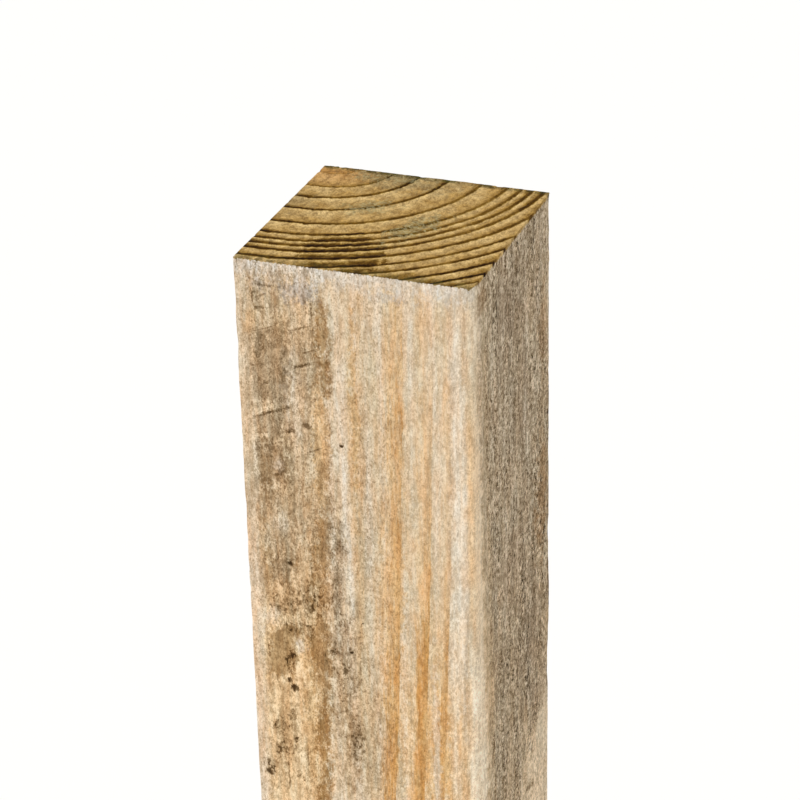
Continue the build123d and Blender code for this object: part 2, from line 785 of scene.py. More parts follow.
    specks: tuple[Stain, ...] = on_front(
        2.5,
        (33.0, 57.7, 0.9, 0.45, 1.0, 0.0, 0.1, 0.6),
        (34.2, 129.6, 0.8, 0.5, 1.0, 30.0, 0.1, 0.6),
        (37.9, 118.7, 0.4, 0.4, 1.0, 0.0, 0.1, 0.6),
        (12.8, 144.0, 0.9, 1.1, 0.9),
        (14.3, 146.7, 1.3, 1.3, 0.95),
        (13.4, 140.6, 0.8, 0.9, 0.7),
        (14.1, 166.1, 1.0, 1.2, 0.85),
        (4.4, 180.6, 1.0, 1.2, 0.85),
        (14.5, 101.2, 0.9, 0.8, 0.75),
    )
    mould_runs: tuple[Stain, ...] = on_front(
        2.5,
        (13.3, 135.6, 2.2, 4.0, 0.85),
        (14.2, 124.6, 2.0, 2.2, 0.7),
        (19.4, 123.0, 2.6, 4.6, 0.6),
        (9.2, 161.6, 3.2, 2.8, 0.7),
        (13.2, 158.0, 2.0, 4.0, 0.55),
        (13.6, 169.6, 2.0, 2.8, 0.75),
        (9.2, 171.0, 3.4, 4.4, 0.6),
        (4.6, 178.5, 1.8, 4.0, 0.7),
        (15.0, 180.2, 2.0, 1.6, 0.7),
        (21.0, 113.5, 6.5, 6.0, 0.6),
        (12.0, 116.5, 6.0, 4.0, 0.5),
        (28.0, 131.0, 2.4, 3.4, 0.5),
        (32.2, 137.0, 1.8, 3.0, 0.5),
        (35.0, 163.0, 2.6, 7.0, 0.5),
    )
    soaks: tuple[Stain, ...] = (
        Stain((30.5, 11.8, 0.0), (12.8, 17.0, 4.0), (0.0, 0.0, 20.6), 1.0, 0.12, 0.25),
        Stain((43.2, 13.0, 0.0), (1.2, 9.0, 4.0), (0.0, 0.0, 26.0), 0.9, 0.15, 0.5),
        Stain((75.0, 66.0, 0.0), (5.0, 10.0, 4.0), strength=0.3),
        Stain((74.0, 16.0, 0.0), (6.0, 14.0, 4.0), strength=0.4),
        Stain((54.0, 0.0, 0.0), (22.0, 6.0, 4.0), strength=0.5),
        Stain((0.0, 40.0, 0.0), (3.5, 45.0, 4.0), strength=0.35),
    )
    films: tuple[Stain, ...] = (
        Stain((31.0, 69.0, 0.0), (20.0, 9.0, 4.0), strength=0.55),
        Stain((2.0, 44.0, 0.0), (7.0, 9.0, 4.0), strength=0.45),
    )
    smudges: tuple[Stain, ...] = (
        Stain((44.0, 36.0, 0.0), (5.0, 13.0, 4.0), (0.0, 0.0, -25.0), 0.9),
        Stain((26.0, 47.5, 0.0), (9.0, 5.0, 4.0), (0.0, 0.0, 30.0), 0.75),
        Stain((25.0, 72.5, 0.0), (13.0, 6.0, 4.0), strength=0.7),
    )

    def material(self) -> bpy.types.Material:
        """Make the material.

        Returns:
            The finished material.
        """
        material = bpy.data.materials.new("weathered_sawn_pine")
        tree = emptied(material)
        position = add(tree, Node.COORDINATES).node.outputs["Object"]
        place = self.timber.place(tree, position)
        grain = self.timber.grain(tree, place)
        weather = self._weather(tree, place)
        faces = self._face_wood(tree, place, grain)
        faces = self._weathered(tree, place, weather, faces)
        faces = self._flecked(tree, place, weather, faces)
        ends = self._end_wood(tree, place, grain, weather)
        share = self._end_share(tree, place)
        colour = add(tree, Node.MIX, share, faces, ends)
        # The fuzz of the sawn fibre is drawn coarser than its 0.1 mm, so that it shows.
        fuzz = self.timber.noise(tree, place, (0.7, 0.7, 1.6), 3.0, 5.0)
        ridge = add(tree, Node.EASE, grain.to_line, 1.8, 0.2, 0.0, 0.18)
        height = add(tree, Node.MULTIPLY_ADD, fuzz, self.fuzz, ridge)
        bump = add(tree, Node.BUMP, named={"Height": height, "Distance": MM, "Strength": self.relief})
        surface = add(
            tree,
            Node.SURFACE,
            named={
                "Base Color": colour,
                "Roughness": self.roughness,
                "Specular IOR Level": self.specular,
                "Normal": bump,
            },
        )
        add(tree, Node.MATERIAL_END, surface)
        return material

    def _end_share(self, tree: Tree, place: Place) -> Socket:
        """Add the share of cut end grain, which stops unevenly at the rims.

        Args:
            tree: The tree that gets the nodes.
            place: Where it is read.

        Returns:
            One on the two saw cuts and nothing on the faces.
        """
        near, _ = self.timber.from_edge(tree, place)
        inside = add(tree, Node.SUBTRACT, near, self.timber.from_end(tree, place))
        rag = self.timber.noise(tree, place, (0.7, 0.7, 2.5), 2.0, 9.0)
        inside = add(tree, Node.MULTIPLY_ADD, rag, 1.8, inside)
        inside = add(tree, Node.ADD, inside, add(tree, Node.EASE, place.inward, 2.0, 6.0))
        return add(tree, Node.EASE, inside, 0.7, 1.1)

    def _weather(self, tree: Tree, place: Place) -> Weather:
        """Work out where the faces are browned, greyed, damp and frayed, and where a highlight on the
        rubbed right arris and a shadow just under the top cut are painted.

        Args:
            tree: The tree that gets the nodes.
            place: Where it is read.

        Returns:
            The shares of each, with the noise that made them uneven.
        """
        timber = self.timber
        lumps = timber.noise(tree, place, (4.0, 6.0, 6.5), 4.0, 4.0, 0.85)
        rag = add(tree, Node.RANGE, lumps, 0.38, 0.62)
        saw = timber.saw_cut(tree, place)
        wander = timber.noise(tree, place, (1.0, 2.0, 1.3), 2.0, 29.0, 0.9).node.outputs["Color"]
        wander = add(tree, Node.VECTOR_SUBTRACT, wander, (0.5, 0.5, 0.5))
        vectors = []
        for reach in (self.wander, self.thin_wander):
            far = (reach, reach, reach)
            vectors.append(add(tree, Node.VECTOR_MULTIPLY_ADD, wander, far, place.vector))
        spot = Spot(place, vectors[0], rag, saw.feed, timber.saw_rise)
        thin = spot._replace(vector=vectors[1])
        front = add(tree, Node.EASE, place.inward, *self.front_span)
        narrowing = add(tree, Node.RANGE, place.below, 0.0, 180.0, 0.0, 5.0)
        edge = add(tree, Node.MULTIPLY_ADD, rag, 3.0, place.across)
        arris = together(tree, add(tree, Node.EASE, edge, 8.0, 4.5), front)
        edge = add(tree, Node.ADD, edge, narrowing)
        left = add(tree, Node.EASE, edge, 33.5, 30.0)
        arris = together(tree, arris, add(tree, Node.EASE, place.below, 70.0, 110.0, 0.3, 1.0))
        clear = add(tree, Node.SUBTRACT, 1.0, arris)
        brown, umber, honey = self._browned(tree, spot, saw, left, clear)
        hidden = add(tree, Node.EASE, place.below, *self.unseen_span)
        wet = timber.noise(tree, place, (9.0, 9.0, 60.0), 3.0, 18.0)
        wet = together(tree, add(tree, Node.EASE, wet, 0.5, 0.65, 0.0, 0.8), hidden)
        damp = strongest(tree, wet, marked(tree, self.damp, spot))
        # Grey stain, with painted shadow under the frayed fringe just below the top cut.
        ash_and_shadow = marked(tree, self.ashes_and_fringe_shadow, spot)
        right = add(tree, Node.EASE, place.across, *self.right_span)
        # The right face's grey begins a few millimetres in from the rubbed arris; the paler band left
        # there is partly the arris's own colour and partly painted highlight.
        fall = add(tree, Node.MINIMUM, place.below, self.unseen_span[0])
        ease = add(tree, Node.MULTIPLY_ADD, fall, -0.04, place.inward)
        ease = add(tree, Node.MULTIPLY_ADD, rag, -4.0, ease)
        strip = add(tree, Node.EASE, ease, -1.5, 13.0)
        scraped = marked(tree, self.scrapes, spot)
        kept = add(tree, Node.SUBTRACT, 1.0, scraped)
        cover = timber.noise(tree, place, (10.0, 10.0, 60.0), 3.0, 15.0)
        cover = add(tree, Node.RANGE, cover, 0.3, 0.6, 0.65, 1.0)
        grey = together(tree, right, strip, cover, kept)
        dusk = marked(tree, self.dusks, spot)
        dusk = together(tree, dusk, right, kept)
        rust = marked(tree, self.rusts, spot)
        rust = together(tree, rust, right)
        fray = add(tree, Node.MULTIPLY_ADD, rag, 6.0, place.below)
        fringe = add(tree, Node.EASE, fray, 12.0, 3.5, 0.0, 0.9)
        fringe = together(tree, fringe, add(tree, Node.EASE, place.inward, 5.0, 1.0))
        dun = together(tree, left, clear, add(tree, Node.EASE, place.below, 95.0, 140.0, 0.75, 0.2))
        blush = together(tree, arris, add(tree, Node.EASE, rag, 0.3, 0.6, 0.3, 0.8))
        amber = marked(tree, self.tan_streaks, thin)
        # Painted highlight over wear: the rubbed right arris and the edge of the right face get warm and
        # pale wood, partly their worn colour and partly lightened in place of light that the rounded
        # arris doesn't catch.
        rubbed_and_highlit = add(tree, Node.EASE, place.across, 71.8, 73.4)
        rubbed_and_highlit = together(tree, rubbed_and_highlit, add(tree, Node.EASE, ease, 5.0, -1.5))
        warm_wear_and_highlight = together(tree, rubbed_and_highlit, add(tree, Node.EASE, place.below, 140.0, 100.0, 0.0, 0.75))
        warm_wear_and_highlight = together(tree, warm_wear_and_highlight, add(tree, Node.EASE, place.below, 10.0, 50.0, 0.4, 1.0))
        paler = strongest(
            tree,
            add(tree, Node.EASE, place.below, 95.0, 140.0, 0.0, 0.9),
            add(tree, Node.EASE, place.below, 50.0, 20.0, 0.0, 0.6),
            add(tree, Node.EASE, place.inward, 0.5, 3.0, 0.0, 0.5),
        )
        pale_wear_and_highlight = together(tree, rubbed_and_highlit, paler)
        lights = (dun, honey, blush, amber, warm_wear_and_highlight, pale_wear_and_highlight)
        return Weather(spot, thin, *lights, brown, umber, damp, ash_and_shadow, grey, dusk, rust, scraped, fringe)

    def _browned(
        self, tree: Tree, spot: Spot, saw: SawCut, left: Socket, clear: Socket
    ) -> tuple[Socket, Socket, Socket]:
        """Work out where the left of the front face is browned, stroke by stroke of the saw.

        Args:
            tree: The tree that gets the nodes.
            spot: Where it is read.
            saw: The saw's marks there.
            left: The share of the face that is weathered brown.
            clear: The share that is clear of its rubbed arris.

        Returns:
            The shares of cold brown, of warm brown and of the honey-coloured wood under them.
        """
        place = spot.place
        fade = strongest(
            tree,
            add(tree, Node.EASE, place.below, 120.0, 70.0, 0.25, 1.0),
            add(tree, Node.EASE, place.below, *self.unseen_span, 0.0, 0.7),
        )
        shade = together(tree, add(tree, Node.EASE, saw.shade, 0.2, 1.0, 0.0, 0.26), left, fade)
        gaps = self.timber.noise(tree, place, (9.0, 9.0, 5.0), 2.0, 6.0)
        line = together(tree, saw.line, left, fade, add(tree, Node.EASE, gaps, 0.52, 0.6, 0.0, 0.9))
        front = add(tree, Node.EASE, place.inward, *self.front_span)
        blocks = together(tree, marked(tree, self.blocks, spot), front)
        brown = together(tree, strongest(tree, shade, line, blocks), clear)
        warm = together(tree, marked(tree, self.umber_blocks, spot), front)
        umber = together(tree, strongest(tree, warm, marked(tree, self.umbers, spot)), clear)
        honey = together(tree, left, clear, add(tree, Node.EASE, place.below, 85.0, 135.0, 0.0, 0.8))
        return brown, umber, honey

    def _face_wood(self, tree: Tree, place: Place, grain: Grain) -> Socket:
        """Add the clean wood of the long faces: cream lanes between orange streaks.

        Args:
            tree: The tree that gets the nodes.
            place: Where it is read.
            grain: The growth rings there.

        Returns:
            The colour.
        """
        timber = self.timber
        mottle = timber.noise(tree, place, (4.0, 4.0, 110.0), 4.0, 1.0)
        lower = add(tree, Node.EASE, place.below, 60.0, 170.0, 0.0, 0.05)
        mottle = add(tree, Node.ADD, mottle, lower)
        mottle = add(tree, Node.RANGE, mottle, 0.35, 0.65)
        wood = add(tree, Node.MIX, mottle, linear(self.cream), linear(self.straw))
        sunned = add(tree, Node.EASE, place.below, 105.0, 155.0, 0.0, 0.5)
        sunned = together(tree, sunned, add(tree, Node.EASE, place.across, 48.0, 57.0))
        wood = add(tree, Node.MIX, sunned, wood, linear(self.honey))
        dither = timber.noise(tree, place, (1.3, 1.3, 14.0), 3.0, 3.0, 0.9)
        inner = add(tree, Node.MULTIPLY_ADD, dither, 6.0, grain.to_line)
        outer = add(tree, Node.MULTIPLY_ADD, dither, 4.0, grain.past_line)
        inner = add(tree, Node.EASE, inner, 7.4, 3.4)
        streak = strongest(tree, inner, add(tree, Node.EASE, outer, 2.9, 1.0))
        reach = timber.noise(tree, place, (3.0, 3.0, 80.0), 3.0, 2.0, 0.7)
        reach = add(tree, Node.RANGE, reach, 0.35, 0.65, 0.7, 1.1)
        slow = add(tree, Node.EASE, place.below, 60.0, 150.0, -0.37, 0.3)
        onset = add(tree, Node.MULTIPLY, slow, add(tree, Node.EASE, place.across, 53.0, 57.0))
        onset = add(tree, Node.ADD, onset, add(tree, Node.EASE, place.below, 95.0, 150.0, 0.95, 1.15))
        onset = together(tree, onset, add(tree, Node.EASE, place.below, 5.0, 55.0, 0.65, 1.0))
        faded = add(tree, Node.EASE, place.across, 34.0, 45.0, 0.25, 1.0)
        side = add(tree, Node.EASE, place.across, *self.right_span[::-1], 0.4, 1.0)
        faded = together(tree, faded, side)
        thread = timber.noise(tree, place, (0.8, 0.8, 9.0), 2.0, 31.0, 0.9)
        thread = add(tree, Node.RANGE, thread, 0.36, 0.64, 0.8, 1.2)
        streak = together(tree, streak, grain.strength, reach, onset, faded, thread)
        for low, high, most, colour in ((0.0, 1.1, 0.92, self.tan), (0.65, 1.3, 0.7, self.orange)):
            share = add(tree, Node.RANGE, streak, low, high, 0.0, most)
            wood = add(tree, Node.MIX, share, wood, linear(colour))
        return wood

    def _weathered(self, tree: Tree, place: Place, weather: Weather, wood: Socket) -> Socket:
        """Lay brown and grey weathering over the faces, a painted highlight on the rubbed right arris, a
        painted shadow just under the top cut, and the pale fringe there.

        Args:
            tree: The tree that gets the nodes.
            place: Where it is read.
            weather: The weathering there.
            wood: The colour below.

        Returns:
            The colour.
        """
        fine = self.timber.noise(tree, place, (0.5, 0.9, 0.8), 2.0, 7.0)
        stipple = add(tree, Node.EASE, fine, 0.4, 0.6, 0.45, 1.0)
        layers = (
            (weather.dun, self.dun),
            (weather.honey, self.honey),
            (weather.blush, self.blush),
            (weather.amber, self.tan),
            (weather.brown, self.brown),
            (weather.umber, self.umber),
            # Grey stain and the painted shadow under the fringe.
            (weather.ash_and_shadow, self.ashen_and_shadow),
            (together(tree, weather.damp, stipple), self.damp_grey),
            (marked(tree, self.pale_streaks, weather.thin), self.bleached),
            (weather.grey, self.grey),
            (weather.dusk, self.dusk),
            (weather.rust, self.rust),
            (weather.scraped, self.scraped),
            # Painted highlight over the worn colour of the rubbed right arris.
            (weather.warm_wear_and_highlight, self.warm_wear_and_highlight),
            (weather.pale_wear_and_highlight, self.pale_wear_and_highlight),
            (weather.fringe, self.fringe),
        )
        for share, colour in layers:
            wood = add(tree, Node.MIX, share, wood, linear(colour))
        drift = self.timber.noise(tree, place, (3.2, 8.0, 20.0), 2.0, 28.0, 0.8)
        green = add(tree, Node.RANGE, drift, 0.36, 0.64, 1 + self.drift, 1 - self.drift)
        blue = add(tree, Node.POWER, green, 2.0)
        hues = add(tree, Node.JOIN, 1.0, green, blue)
        share = add(tree, Node.EASE, place.across, *self.right_span, 1.0, 0.4)
        return add(tree, Node.MIX, share, wood, hues, blend_type="MULTIPLY")

    def _flecked(self, tree: Tree, place: Place, weather: Weather, wood: Socket) -> Socket:
        """Fleck the faces with woolly fibre and black mould, most where they are weathered.

        Args:
            tree: The tree that gets the nodes.
            place: Where it is read.
            weather: The weathering there.
            wood: The colour below.

        Returns:
            The colour.
        """
        # Torn fibre is about 0.1 mm thick, finer than a pixel, so its flecks are drawn 1 to 2 mm long.
        timber = self.timber
        rag = weather.spot.rag
        wool = timber.noise(tree, place, (1.2, 1.5, 2.0), 3.0, 8.0, 1.0)
        lanes = timber.noise(tree, place, (2.2, 4.0, 22.0), 1.0, 26.0, 1.0)
        clean = add(tree, Node.EASE, place.across, 24.0, 34.0, 0.6, 0.5)
        side = add(tree, Node.EASE, place.across, *self.right_span[::-1], 0.25, 1.0)
        clean = add(tree, Node.MINIMUM, clean, side)
        fleck = together(tree, lanes, clean)
        fleck = add(tree, Node.MULTIPLY_ADD, wool, 1.5, fleck)
        fleck = add(tree, Node.MULTIPLY_ADD, rag, 0.07, fleck)
        level = add(tree, Node.MULTIPLY_ADD, clean, 0.5, 0.785)
        fleck = add(tree, Node.SUBTRACT, fleck, level)
        bare = add(tree, Node.EASE, place.below, 105.0, 140.0, 0.52, 0.3)
        bare = together(tree, bare, add(tree, Node.EASE, place.across, 2.0, 8.0, 0.4, 1.0))
        left = together(tree, add(tree, Node.EASE, place.across, 32.0, 24.0), bare)
        shaded = strongest(tree, together(tree, weather.grey, 2.0), together(tree, weather.scraped, 0.6))
        low = add(tree, Node.EASE, place.below, 90.0, 170.0, 0.05, 0.2)
        rough = strongest(tree, shaded, weather.brown, weather.damp, left, low)
        rough = together(tree, rough, add(tree, Node.EASE, rag, 0.15, 0.85, 0.65, 1.2))
        least = add(tree, Node.MULTIPLY_ADD, rough, -0.4, 0.8)
        most = add(tree, Node.MULTIPLY_ADD, rough, 0.32, 1.17)
        factor = add(tree, Node.RANGE, fleck, -0.18, 0.18, least, most)
        thick = strongest(tree, together(tree, weather.damp, 0.75), together(tree, left, 0.75))
        thick = strongest(tree, thick, add(tree, Node.EASE, place.across, 58.0, 44.0, 0.12, 0.3))
        grit = timber.noise(tree, place, (0.55, 0.9, 0.8), 1.0, 27.0)
        pits = timber.noise(tree, place, (1.2, 2.6, 1.8), 2.0, 30.0, 0.8)
        grit = add(tree, Node.EASE, grit, 0.6, 0.68)
        dose = strongest(tree, grit, add(tree, Node.EASE, pits, 0.58, 0.68))
        dose = together(tree, dose, thick)
        lines = marked(tree, self.strokes, weather.thin)
        dose = add(tree, Node.MULTIPLY_ADD, lines, 1.2, dose)
        dots = timber.noise(tree, place, (1.3, 3.0, 1.6), 2.0, 14.0, 0.7)
        runs = marked(tree, self.mould_runs, weather.spot)
        runs = together(tree, runs, add(tree, Node.EASE, dots, 0.48, 0.62, 0.15, 1.0))
        spots = strongest(tree, runs, marked(tree, self.specks, weather.thin))
        dose = add(tree, Node.MULTIPLY_ADD, spots, 2.0, dose)
        dose = add(tree, Node.POWER, self.mould_shade, dose)
        return dye(tree, together(tree, factor, dose), wood, *self.fleck_powers)

    def _end_wood(self, tree: Tree, place: Place, grain: Grain, weather: Weather) -> Socket:
        """Add the saw-cut ends: gold rings that each darken to a line, with soaked and smudged patches.

        Args:
            tree: The tree that gets the nodes.
            place: Where it is read.
            grain: The growth rings there.
            weather: The weathering there.

        Returns:
            The colour.
        """
        timber = self.timber
        tone = timber.noise(tree, place, (6.0, 6.0, 6.0), 3.0, 11.0)
        tone = add(tree, Node.MULTIPLY_ADD, tone, 1.6, grain.phase)
        tone = add(tree, Node.RANGE, tone, 0.5, 1.55)
        wood = add(tree, Node.MIX, tone, linear(self.end_pale), linear(self.end_tan))
        heart = add(tree, Node.EASE, grain.radius, 23.0, 10.0)
        heart = together(tree, heart, add(tree, Node.EASE, grain.radius, 3.0, 8.0, 0.4), 0.5)
        wood = add(tree, Node.MIX, heart, wood, linear(self.end_heart))
        wood = add(tree, Node.MIX, marked(tree, self.films, weather.spot), wood, linear(self.end_film))
        near, _ = timber.from_edge(tree, place)
        rim = add(tree, Node.EASE, near, 9.0, 1.0)
        soak = marked(tree, self.soaks, weather.spot)
        outside = add(tree, Node.EASE, grain.radius, 54.5, 57.0)
        soak = together(tree, soak, outside)
        wet = strongest(tree, rim, soak)
        reach = add(tree, Node.RANGE, grain.radius, 40.0, 62.0, 0.8, 1.15)
        reach = add(tree, Node.MULTIPLY_ADD, wet, 0.25, reach)
        thinner = add(tree, Node.EASE, grain.radius, 70.0, 80.0, 0.0, 0.4)
        reach = add(tree, Node.SUBTRACT, reach, thinner)
        dither = timber.noise(tree, place, (0.9, 0.9, 0.9), 2.0, 13.0)
        inner = add(tree, Node.MULTIPLY_ADD, dither, 1.2, grain.to_line)
        inner = add(tree, Node.SUBTRACT, inner, 0.6)
        ratio = add(tree, Node.DIVIDE, inner, reach)
        weaker = add(tree, Node.EASE, grain.radius, 66.0, 76.0, 0.45, 0.3)
        skirt = add(tree, Node.EASE, ratio, 2.6, 0.8, 0.0, weaker)
        core = add(tree, Node.EASE, ratio, 1.3, 0.5)
        beyond = add(tree, Node.EASE, grain.past_line, 0.5, 0.0)
        strength = timber.noise(tree, place, (8.0, 8.0, 8.0), 3.0, 12.0)
        strength = add(tree, Node.RANGE, strength, 0.3, 0.6, 0.6, 1.05)
        bold = add(tree, Node.EASE, near, 20.0, 3.0, 0.75, 1.05)
        strength = together(tree, strength, grain.strength, bold)
        faint = add(tree, Node.EASE, place.inward, 22.0, 42.0, 0.0, -0.28)
        faint = add(tree, Node.MULTIPLY_ADD, faint, add(tree, Node.EASE, place.across, 40.0, 58.0), 1.0)
        strength = together(tree, strength, faint)
        line = together(tree, strongest(tree, skirt, core, beyond), strength)
        speckle = timber.noise(tree, place, (2.2, 2.2, 2.2), 4.0, 16.0)
        late = add(tree, Node.EASE, grain.phase, 0.1, 0.5, 0.06, 1.0)
        dark = together(tree, soak, late, add(tree, Node.EASE, speckle, 0.38, 0.54, 0.45, 1.0))
        line = add(tree, Node.POWER, line, 1.4)
        line = together(tree, line, 1.65)
        dose = add(tree, Node.MULTIPLY_ADD, dark, 0.9, line)
        factor = add(tree, Node.POWER, self.soak_shade, dose)
        wood = dye(tree, factor, wood, *self.soak_powers)
        smudge = marked(tree, self.smudges, weather.spot)
        wood = add(tree, Node.MIX, together(tree, smudge, 0.45), wood, linear(self.end_green))
        smudge = together(tree, smudge, add(tree, Node.EASE, dither, 0.58, 0.42, 0.0, 0.8))
        wood = add(tree, Node.MIX, smudge, wood, linear(self.end_grey))
        back = add(tree, Node.EASE, place.inward, 71.0, 73.5, 0.0, 0.85)
        front = add(tree, Node.EASE, place.inward, 7.0, 0.5, 0.0, 0.6)
        patchy = add(tree, Node.EASE, weather.spot.rag, 0.35, 0.6, 0.2, 1.0)
        green = together(tree, strongest(tree, back, front), patchy)
        wood = add(tree, Node.MIX, green, wood, linear(self.end_green))
        fleck = timber.noise(tree, place, (2.2, 3.4, 3.4), 4.0, 17.0, 0.9)
        factor = add(tree, Node.RANGE, fleck, 0.38, 0.62, 0.6, 1.34)
        return dye(tree, factor, wood, *self.end_powers)


@dataclass(frozen=True)
class PaleFloor:
    """A pale matt studio floor, which shows as an even white ground."""

    colour: str = "#F4F3F1"
    roughness: float = 0.9
    specular: float = 0.1

    def material(self) -> bpy.types.Material:
        """Make the material.

        Returns:
            The finished material.
        """
        material = bpy.data.materials.new("pale_studio_floor")
        tree = emptied(material)
        surface = add(
            tree,
            Node.SURFACE,
            named={
                "Base Color": linear(self.colour),
                "Roughness": self.roughness,
                "Specular IOR Level": self.specular,
            },
        )
        add(tree, Node.MATERIAL_END, surface)
        return material


def plain_mesh(piece: bpy.types.Object, tree: Tree, sizes: dict[str, float]) -> None:
    """Run a geometry tree on a piece and keep the result as its plain mesh.

    Args:
        piece: The object whose mesh the tree works on.
        tree: The tree.
        sizes: The tree's inputs, by their names.
    """
    modifier = piece.modifiers.new(tree.name, "NODES")
    modifier.node_group = tree
    for item in tree.interface.items_tree:
        if item.in_out == "INPUT" and item.name in sizes:
            modifier[item.identifier] = sizes[item.name]
    graph = bpy.context.evaluated_depsgraph_get()
    mesh = bpy.data.meshes.new_from_object(piece.evaluated_get(graph))
    piece.modifiers.remove(modifier)
    rough = piece.data
    piece.data = mesh
    mesh.name = piece.name
    bpy.data.meshes.remove(rough)


def new_tree(name: str, sizes: dict[str, float]) -> tuple[Tree, dict[str, Socket]]:
    """Start a geometry tree with a mesh input and named size inputs.

    Args:
        name: The tree's name.
        sizes: The names of its size inputs, with the values that they start from.

    Returns:
        The tree, and its inputs by name.
    """
    tree = bpy.data.node_groups.new(name, "GeometryNodeTree")
    tree.interface.new_socket("Mesh", in_out="INPUT", socket_type="NodeSocketGeometry")
    for label, value in sizes.items():
        socket = tree.interface.new_socket(label, in_out="INPUT", socket_type="NodeSocketFloat")
        socket.default_value = value
    tree.interface.new_socket("Mesh", in_out="OUTPUT", socket_type="NodeSocketGeometry")
    start = add(tree, Node.TREE_START).node
    return tree, {socket.name: socket for socket in start.outputs if socket.name}


@dataclass
class SawnPost:
    """The post itself: a fine skin over the sawn section, with the relief of rings, saw and wear."""

    timber: Timber
    arris: float = 1.2
    worn_arris: float = 4.0
    rim: float = 0.6
    columns: int = 96
    coarsening: int = 3
    crowding: float = 0.5
    upper_length: float = 240.0
    upper_row: float = 2.5
    lower_row: float = 6.5
    sink: float = 0.35
    ring_ridge: float = 0.3
    saw_groove: float = 0.25
    swell: float = 0.2
    fibre: float = 0.3
    chip: float = 0.45

    def build(self, finish: SawnSoftwood) -> bpy.types.Object:
        """Make the post and set it in the frame.

        Args:
            finish: The wood's finish.

        Returns:
            The finished piece.
        """
        post = bpy.data.objects.new("sawn_post", self._skin())
        bpy.context.scene.collection.objects.link(post)
        sizes = {
            "Sink": self.sink,
            "Ring Ridge": self.ring_ridge,
            "Saw Groove": self.saw_groove,
            "Swell": self.swell,
            "Fibre": self.fibre,
            "Chip": self.chip,
        }
        plain_mesh(post, self._relief(sizes, finish.material()), sizes)
        post.data.polygons.foreach_set("use_smooth", [True] * len(post.data.polygons))
        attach(post, POST_BODY)
        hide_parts(POST_NODE)
        return post

    def _spread(self, columns: int) -> np.ndarray:
        """Space the columns of a face, closer together beside its arrises.

        Args:
            columns: How many columns the face has.

        Returns:
            Shares of the face's width, from 0 to 1.
        """
        even = np.linspace(0.0, 1.0, columns + 1)
        return even - self.crowding * np.sin(2 * np.pi * even) / (2 * np.pi)

    def _outline(self, inset: float, columns: int) -> np.ndarray:
        """Walk round the rounded section, from the front left arris along the front face.

        Args:
            inset: How far inside the section the walk stays.
            columns: How many steps each face has.

        Returns:
            The points in millimetres, one row each.
        """
        half = np.array([self.timber.width, self.timber.depth]) / 2 - inset
        corners = [np.array(sign) * half for sign in ((-1, -1), (1, -1), (1, 1), (-1, 1))]
        radii = [radius - inset for radius in (self.arris, self.worn_arris, self.arris, self.arris)]
        points = []
        for face in range(4):
            start, end = corners[face], corners[(face + 1) % 4]
            first, last = radii[face], radii[(face + 1) % 4]
            along = (end - start) / np.linalg.norm(end - start)
            out = np.array([along[1], -along[0]])
            straight = np.linalg.norm(end - start) - first - last
            bends = (first * np.pi / 4, last * np.pi / 4)
            walk = self._spread(columns)[:-1] * (bends[0] + straight + bends[1])
            for step in walk:
                if step < bends[0]:
                    angle = np.pi / 4 - step / first
                    centre = start + first * (along - out)
                    points.append(centre + first * (out * np.cos(angle) - along * np.sin(angle)))
                elif step > bends[0] + straight:
                    angle = (step - bends[0] - straight) / last
                    centre = end - last * (along + out)
                    points.append(centre + last * (out * np.cos(angle) + along * np.sin(angle)))
                else:
                    points.append(start + along * (first + step - bends[0]))
        return np.array(points)

    def _loops(self) -> list[tuple[float, float, int]]:
        """List the loops of the skin from the top cut to the foot cut.

        Returns:
            Each loop's inset, depth below the top and columns on a face.
        """
        fine, coarse = self.columns, self.columns // self.coarsening
        round_in = self.rim * (1 - math.cos(math.pi / 4))
        length = self.timber.length
        upper = np.arange(self.rim, self.upper_length, self.upper_row)
        rows = math.ceil((length - self.rim - upper[-1]) / self.lower_row)
        lower = np.linspace(upper[-1], length - self.rim, rows + 1)[1:]
        loops = [(self.rim, 0.0, fine), (round_in, round_in, fine)]
        loops += [(0.0, float(depth), fine) for depth in upper]
        loops += [(0.0, float(depth), coarse) for depth in lower]
        return loops + [(round_in, length - round_in, coarse), (self.rim, length, coarse)]

    def _skin(self) -> bpy.types.Mesh:
        """Make the smooth skin of the post, closed by a grid on each cut.

        Returns:
            The mesh, in metres.
        """
        vertices: list[np.ndarray] = []
        faces: list[list[int]] = []
        starts = []
        loops = self._loops()
        total = 0
        for inset, depth, columns in loops:
            ring = self._outline(inset, columns)
            height = np.full((len(ring), 1), self.timber.length - depth)
            vertices.append(np.hstack([ring, height]))
            starts.append(total)
            total += len(ring)
        for upper, lower in zip(range(len(loops)), range(1, len(loops))):
            many, few = 4 * loops[upper][2], 4 * loops[lower][2]
            share = many // few
            for column in range(few):
                over = [starts[upper] + (column * share + step) % many for step in range(share + 1)]
                under = [starts[lower] + (column + 1) % few, starts[lower] + column]
                faces.append(over[::-1] + under[::-1])
        for loop, upward in ((0, True), (len(loops) - 1, False)):
            columns = loops[loop][2]
            grid, inner = self._cut_grid(vertices[loop], columns, starts[loop], total)
            vertices.append(inner)
            total += len(inner)
            for row in range(columns):
                for column in range(columns):
                    quad = [grid[row, column], grid[row, column + 1]]
                    quad += [grid[row + 1, column + 1], grid[row + 1, column]]
                    faces.append([int(corner) for corner in (quad if upward else quad[::-1])])
        mesh = bpy.data.meshes.new("sawn_skin")
        mesh.from_pydata(np.vstack(vertices) * MM, [], faces)
        mesh.validate()
        return mesh

